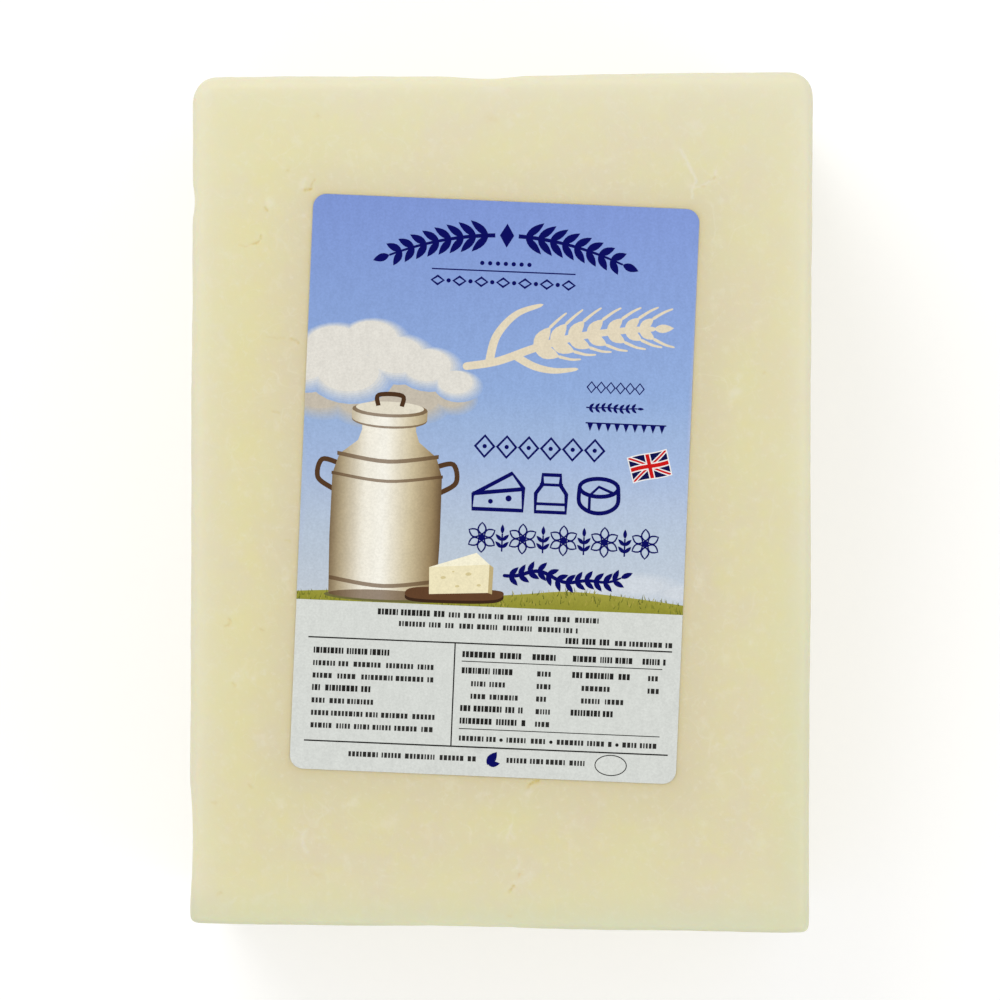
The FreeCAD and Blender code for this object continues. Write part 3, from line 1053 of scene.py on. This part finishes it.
def draw_wheat(art):
    """An ear of wheat with two blades, drawn with a cream brush."""
    ear = [(35.6, 37.0), (42.5, 35.6), (50.5, 32.4), (60.0, 29.4), (70.5, 27.6), (77.0, 27.0)]
    stem = curve(ear, steps=10)
    art.paint_all(CREAM, brush(stem, 1.9, 0.6, 0.4))
    for k in range(7):
        (u, v), (u2, v2) = stem[20 + 4 * k : 22 + 4 * k]
        slope = math.atan2(v2 - v, u2 - u)
        size = 6.0 - 0.32 * k
        for side in (-1, 1):
            lean = slope + side * 0.62
            art.paint(CREAM, leaf(u, v, size, 0.50 * size, lean))
            tip = (u + size * math.cos(lean), v + size * math.sin(lean))
            awn = slope + side * 0.42
            end = (tip[0] + 4.6 * math.cos(awn), tip[1] + 4.6 * math.sin(awn))
            bend = ((tip[0] + end[0]) / 2 + 0.2, (tip[1] + end[1]) / 2 + 0.3 * side)
            art.paint_all(CREAM, brush(curve([tip, bend, end]), 0.7, 0.9, 0.5))
    art.paint(CREAM, leaf(*stem[-1], 4.4, 1.9, slope))
    upper = curve([(40.6, 36.0), (42.0, 30.0), (46.2, 25.0), (52.0, 22.6)], steps=8)
    lower = curve([(46.4, 34.3), (50.6, 36.4), (55.2, 37.2), (60.4, 36.6)], steps=8)
    art.paint_all(CREAM, brush(upper, 2.1, 0.55, 0.12))
    art.paint_all(CREAM, brush(lower, 1.9, 0.55, 0.12))


def draw_sprig(art, stem, width, leaves, size):
    """A stem with pairs of leaves along it and one at its tip."""
    art.line(NAVY, stem, width)
    for k in range(leaves + 1):
        place = (k + 0.5) / leaves * (len(stem) - 2) if k < leaves else len(stem) - 1
        i = min(int(place), len(stem) - 2)
        u, v = blend(stem[i], stem[i + 1], place - i)
        slope = math.atan2(stem[i + 1][1] - stem[i][1], stem[i + 1][0] - stem[i][0])
        for lean in (-0.8, 0.8) if k < leaves else (0,):
            art.paint(NAVY, leaf(u, v, size, 0.42 * size, slope + lean))


def draw_small_rows(art):
    """Three short rows of ornament: lozenges, a sprig and bunting."""
    for k in range(6):
        art.line(NAVY, lozenge(63.6 + 2.15 * k, 40.5, 0.95, 1.2), 0.36, True)
    stem = [(62.6 + 0.6 * k, 45.0 + 0.1 * math.sin(0.6 * k)) for k in range(20)]
    draw_sprig(art, stem, 0.3, 8, 1.5)
    art.paint(NAVY, bar(62.6, 48.3, 80.6, 48.6))
    for k in range(9):
        u = 63.0 + 2.0 * k
        art.paint(NAVY, [(u, 48.5), (u + 1.3, 48.5), (u + 0.65, 50.3)])


def draw_daisy(art, u, v):
    """A daisy in line."""
    for k in range(6):
        turn = 2 * math.pi * (k + 0.5) / 6
        petal = leaf(u + 0.75 * math.cos(turn), v + 0.75 * math.sin(turn), 2.55, 1.75, turn)
        art.line(NAVY, petal, 0.36, True)
    art.paint(NAVY, disc(u, v, 0.8))


def draw_icons(art):
    """A row of line drawings of dairy things between two rows of ornament."""
    thin, thick = 0.66, 0.92
    for k in range(6):
        u = 40.4 + 4.9 * k
        art.line(NAVY, lozenge(u, 54.6, 2.1, 2.35), thin, True)
        art.paint(NAVY, disc(u, 54.6, 0.5))

    # A wedge of cheese.
    art.line(NAVY, [(38.2, 65.4), (46.8, 60.4), (49.4, 63.6), (49.4, 68.6), (38.2, 68.6)], thick, True)
    art.line(NAVY, [(38.2, 65.2), (49.4, 63.8)], thick)
    art.paint_all(NAVY, [disc(42.2, 66.8, 0.55), disc(46.2, 66.0, 0.7)])

    # A churn.
    half = [(52.2, 68.7), (52.2, 64.6), (53.6, 62.6), (53.6, 60.4)]
    other = [(57.6, 60.4), (57.6, 62.6), (59.0, 64.6), (59.0, 68.7)]
    art.line(NAVY, half + other, thick, True)
    art.line(NAVY, [(53.0, 62.6), (58.2, 62.6)], thin)
    art.line(NAVY, [(52.4, 66.9), (58.8, 66.9)], thin)

    # A round cheese with a cut.
    art.line(NAVY, disc(66.2, 62.8, 4.3, 2.0, 0, 26), thick, True)
    foot = [(61.9, 62.9), (61.9, 66.2), (63.6, 67.9), (66.2, 68.5), (68.8, 67.9), (70.5, 66.2), (70.5, 62.9)]
    art.line(NAVY, curve(foot), thick)
    art.line(NAVY, [(64.2, 68.2), (64.2, 64.6), (66.2, 62.6), (69.6, 64.0)], thin)

    for k in range(5):
        draw_daisy(art, 40.6 + 9.1 * k, 74.9)
        if k < 4:
            draw_sprig(art, [(45.15 + 9.1 * k, 77.9 - 0.8 * m) for m in range(6)], 0.36, 2, 2.1)


def draw_vine(art):
    """A brushed vine."""
    stem = [(46.0 + 0.7 * k, 83.2 - 0.9 * math.sin(0.19 * k) + 0.5 * math.sin(0.42 * k)) for k in range(38)]
    art.paint_all(NAVY, brush(stem, 0.9))
    draw_sprig(art, stem, 0.4, 12, 2.9)


def draw_print(art, chance, start, end, top, bold=False):
    """A line of small print as plain blocks: rows of short bars and no letters."""
    ink, high, gap = (INK, 1.35, 0.2) if bold else (FAINT_INK, 1.15, 0.25)
    base = top + 1.5
    u = start
    while u < end - 0.3:
        word_end = min(u + chance.uniform(1.8, 7.5), end)
        while u < word_end - 0.3:
            width = min(chance.uniform(0.3, 0.85), word_end - u)
            art.paint(ink, bar(u, base - high, u + width, base))
            u += width + gap
        u = word_end + chance.uniform(0.6, 0.9)


def draw_panel(art):
    """The pale panel: ruled boxes with lines of dummy print."""
    chance = random.Random(2024)

    def plain_lines(top, *spans):
        for start, end in spans:
            draw_print(art, chance, start, end, top)

    draw_print(art, chance, 18.2, 33.2, 91.5, True)
    plain_lines(91.5, (34.0, 67.8))
    plain_lines(93.9, (23, 63))
    draw_print(art, chance, 60.2, 70.4, 96.3, True)
    plain_lines(96.3, (71.2, 84.2))
    for v in (98.6, 121.6):
        art.paint(INK, bar(3, v - 0.16, 84, v + 0.16))
    for v in (102.6, 117.6):
        art.paint(INK, bar(37.3, v - 0.1, 82, v + 0.1))
    art.paint(INK, bar(35.55, 98.6, 35.85, 121.5))

    # The left box.
    for k, end in enumerate((22, 31.1, 31.6, 18.5, 18.2, 31.8, 32)):
        draw_print(art, chance, 4.3, end, 100.6 + 2.77 * k, k in (0, 3))

    # The table: a heading and five rows, each with where its cells end and how far its names are indented.
    columns = [(37.4, 50.5), (53, 58.4), (62, 75.3), (77.5, 82.7)]
    for start, end in columns:
        draw_print(art, chance, start, end, 100.2, True)
    rows = [
        (0.0, (49, 57.6, 75.0, 81.6)),
        (2.2, (47.5, 57.6, 71.6, 81.6)),
        (2.2, (51.0, 56.4, 73.6)),
        (0.0, (51.6, 57.4, 71.8)),
        (0.0, (52.4, 57.4)),
    ]
    for k, (indent, ends) in enumerate(rows):
        for (start, _), end, inset in zip(columns, ends, (indent, 1.2, indent, 1.4)):
            draw_print(art, chance, start + inset, end, 103.8 + 2.8 * k, inset == 0)

    # The foot, with an oval stamp and two leaves.
    plain_lines(118.8, (37.4, 45.6), (48.0, 56.6), (59.2, 71.4), (73.8, 81.4))
    art.paint_all(INK, [disc(u, 119.8, 0.4) for u in (46.8, 57.9, 72.6)])
    plain_lines(123.3, (13, 41.5), (48.2, 65.8))
    art.paint(NAVY, leaf(43.9, 125.4, 3.6, 2.0, -0.95))
    art.paint(NAVY, leaf(44.2, 125.4, 2.6, 1.3, -0.15))
    art.line(INK, disc(71.4, 124.4, 3.5, 2.25, 0, 28), 0.22, True)


def label_artwork():
    """All that is printed, from the paper's own colour up."""
    art = Artwork()
    art.paint(PANEL, label_outline(), None)
    field = art.paint(sky, bar(-1, -1, LABEL_WIDTH + 1, PICTURE_LENGTH))
    for draw in (draw_clouds, draw_meadow, draw_churn, draw_wedge):
        draw(art, field)
    for draw in (draw_arch, draw_wheat, draw_small_rows, draw_icons, draw_vine, draw_flag, draw_panel):
        draw(art)
    return art


# ---- the label's mesh


def inside(points, outline):
    """Which points lie inside an outline."""
    x, y = points[:, 0], points[:, 1]
    odd = np.zeros(len(points), bool)
    for (ax, ay), (bx, by) in zip(outline, outline[1:] + outline[:1]):
        if ay != by:
            odd ^= ((ay > y) != (by > y)) & (x < ax + (bx - ax) * (y - ay) / (by - ay))
    return odd


def label_grid(pitch, margin):
    """Points spread over the label, no nearer its edge than the margin."""
    half = (LABEL_WIDTH / 2, LABEL_LENGTH / 2)
    grid = staggered_grid((-half[0], -half[1]), half, pitch)
    return grid[box_distance(grid[:, 0], grid[:, 1], *half, LABEL_CORNER) < -margin]


def print_mesh(art):
    """The printed face cut along every shape's edge. Returns flat points, faces and each face's shape."""
    points, edges = [], []
    for outline in art.outlines:
        first, count = len(points), len(outline)
        points += [Vector(p) for p in outline]
        edges += [(first + i, first + (i + 1) % count) for i in range(count)]
    points += [Vector(p) for p in label_grid(1.6, 0.5)]
    made = delaunay_2d_cdt(points, edges, [], 0, 1e-4, False)
    flat = np.array([tuple(p) for p in made[0]])
    faces = np.array(made[2])
    middles = flat[faces].mean(axis=1)

    shapes = np.full(len(faces), -1)
    fields = {}
    for k, outline in enumerate(art.outlines):
        low, high = np.min(outline, axis=0), np.max(outline, axis=0)
        near = np.flatnonzero(((middles >= low) & (middles <= high)).all(axis=1))
        covered = near[inside(middles[near], outline)]
        if art.clips[k] in fields:
            covered = covered[fields[art.clips[k]][covered]]
        if k in art.clips:
            fields[k] = np.isin(np.arange(len(faces)), covered)
        shapes[covered] = k
    kept = fields[0]
    return flat, faces[kept], shapes[kept]


def border(faces):
    """The edge loop round the faces, in order."""
    sides = {(face[i], face[(i + 1) % len(face)]) for face in faces for i in range(len(face))}
    follows = {a: b for a, b in sides if (b, a) not in sides}
    loop = [min(follows)]
    while follows[loop[-1]] != loop[0]:
        loop.append(follows[loop[-1]])
    return loop


def resting(flat):
    """Flat points of the label, in its own frame, each at the height of the uneven face below it."""
    c, s = math.cos(LABEL_TURN), math.sin(LABEL_TURN)
    x = LABEL_CENTRE.x + c * flat[:, 0] - s * flat[:, 1]
    y = LABEL_CENTRE.y + s * flat[:, 0] + c * flat[:, 1]
    return np.column_stack([flat, sag(at_height(np.column_stack([x, y]), TOP))])


def make_label():
    """The paper: its printed face, a white cut edge and the underside that lies on the cheese."""
    art = label_artwork()
    flat, faces, shapes = print_mesh(art)
    loop = border(faces)
    under_flat, under_faces = fill(flat[loop], label_grid(4.0, 1.5))
    points = np.concatenate([resting(flat) + (0, 0, PAPER), resting(under_flat)])
    start, count = len(flat), len(loop)
    edge = []
    for i in range(count):
        j = (i + 1) % count
        edge.append((loop[i], start + i, start + j, loop[j]))
    below = [(start + a, start + q, start + p) for a, p, q in under_faces]

    label = new_mesh_object("label_sheet", points, faces.tolist() + edge + below)
    label.data.set_sharp_from_angle(angle=math.radians(40))
    label.location = (LABEL_CENTRE.x * MM, LABEL_CENTRE.y * MM, TOP * MM)
    label.rotation_euler = (0, 0, LABEL_TURN)
    colours = []
    for face, shape in zip(faces, shapes):
        for x, y in flat[face]:
            ink = art.inks[shape](x + LABEL_WIDTH / 2, LABEL_LENGTH / 2 - y)
            colours.append(linear(*(min(max(c, 0), 255) for c in ink)))
    colours += [linear(*PAPER_EDGE)] * (sum(map(len, edge)) + sum(map(len, below)))
    store(label.data, "ink", colours, "FLOAT_COLOR", "CORNER")
    return label


def label_material():
    """Coated paper with a faint printing grain."""
    m = Material("label_print")
    speck = m.between(m.grain(0.5, 2, 0.7), 0.25, 0.75, 0.93, 1.05)
    fibre = m.between(m.grain(1.6, 3, 0.5, m.stretched(1, 0.35, 1)), 0.3, 0.7, 0.975, 1.02)
    tinted = {0: m.stored("ink", "Color"), 1: m.times(speck, fibre)}
    sockets = {
        "Base Color": m.add("VectorMath", tinted, operation="MULTIPLY")[0],
        "Roughness": m.between(m.grain(2.2, 3), 0.3, 0.7, 0.40, 0.52),
        "Normal": m.bump(m.grain(0.7, 3), 0.12, 0.03),
        "Specular IOR Level": 0.06,
    }
    return m.finished(sockets)


# ---- floor, light and camera

VIEW_HEIGHT = 1100.0  # above the top face
VIEW_WIDTH = 222.5  # that the camera sees at the top face
VIEW_TURN = 0.25  # degrees
VIEW_AIM = (-0.23, 0.24)
SENSOR = 36.0
FILL_LIGHT = 0.78
FLOOR_GLOW = 0.30
FLOOR_HALF = 4000.0
WHITE = (1, 1, 1, 1)
LAMP_SIZE = 0.6  # metres across
LAMPS = {"key": ((-0.38, 0.66, 0.88), 3.0), "fill": ((0.80, -0.45, 0.62), 1.25)}  # metres and watts


def make_floor():
    """A wide pale floor. The camera sees it as white where it is lit, and the object's shadow stays."""
    corners = bar(-FLOOR_HALF, -FLOOR_HALF, FLOOR_HALF, FLOOR_HALF)
    floor = new_mesh_object("floor", [(x, y, 0) for x, y in corners], [(0, 1, 2, 3)])
    floor.location.z = -0.02 * MM
    m = Material("floor_white")
    tone = m.between(m.grain(400), 0.3, 0.7, 0.79, 0.81)
    sockets = {
        "Base Color": m.add("CombineColor", {0: tone, 1: tone, 2: tone})[0],
        "Roughness": 0.9,
        "Specular IOR Level": 0.1,
        "Emission Color": WHITE,
        "Emission Strength": m.times(m.seen_white(), FLOOR_GLOW),
    }
    floor.data.materials.append(m.finished(sockets))


def make_world():
    """Even light from all round, which the camera sees as white."""
    world = bpy.data.worlds.new("studio")
    world.use_nodes = True
    bpy.context.scene.world = world
    nodes = Nodes(world.node_tree)
    strength = nodes.maths("ADD", FILL_LIGHT, nodes.times(nodes.seen_white(), 1 - FILL_LIGHT))
    nodes.put(world.node_tree.nodes["Background"].inputs, {"Strength": strength, "Color": WHITE})


def make_lamp(name, place, watts):
    """A soft round lamp that faces the object."""
    light = bpy.data.lights.new(name, "AREA")
    light.shape = "DISK"
    light.size = LAMP_SIZE
    light.energy = watts
    lamp = put_in_scene(name, light)
    lamp.location = place
    lamp.rotation_euler = (-Vector(place)).to_track_quat("-Z", "Y").to_euler()
    lamp.visible_camera = False


def make_camera():
    """Straight above the top face, a quarter of a degree out of square."""
    data = bpy.data.cameras.new("view")
    data.sensor_width = SENSOR
    data.lens = SENSOR * VIEW_HEIGHT / VIEW_WIDTH
    data.clip_end = 50
    camera = put_in_scene("view", data)
    camera.location = (VIEW_AIM[0] * MM, VIEW_AIM[1] * MM, (TOP + VIEW_HEIGHT) * MM)
    camera.rotation_euler = (0, 0, math.radians(VIEW_TURN))
    bpy.context.scene.camera = camera


# ---- the scene

bpy.context.scene.view_settings.view_transform = "Standard"
make_camera()
make_world()
make_floor()
for lamp_name, (lamp_place, lamp_watts) in LAMPS.items():
    make_lamp(lamp_name, lamp_place, lamp_watts)

cheese = make_cheese()
cheese.data.materials.append(cheese_material())
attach(cheese, "root")
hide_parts("cheese_block")

label = make_label()
label.data.materials.append(label_material())
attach(label, "root")
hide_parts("label")
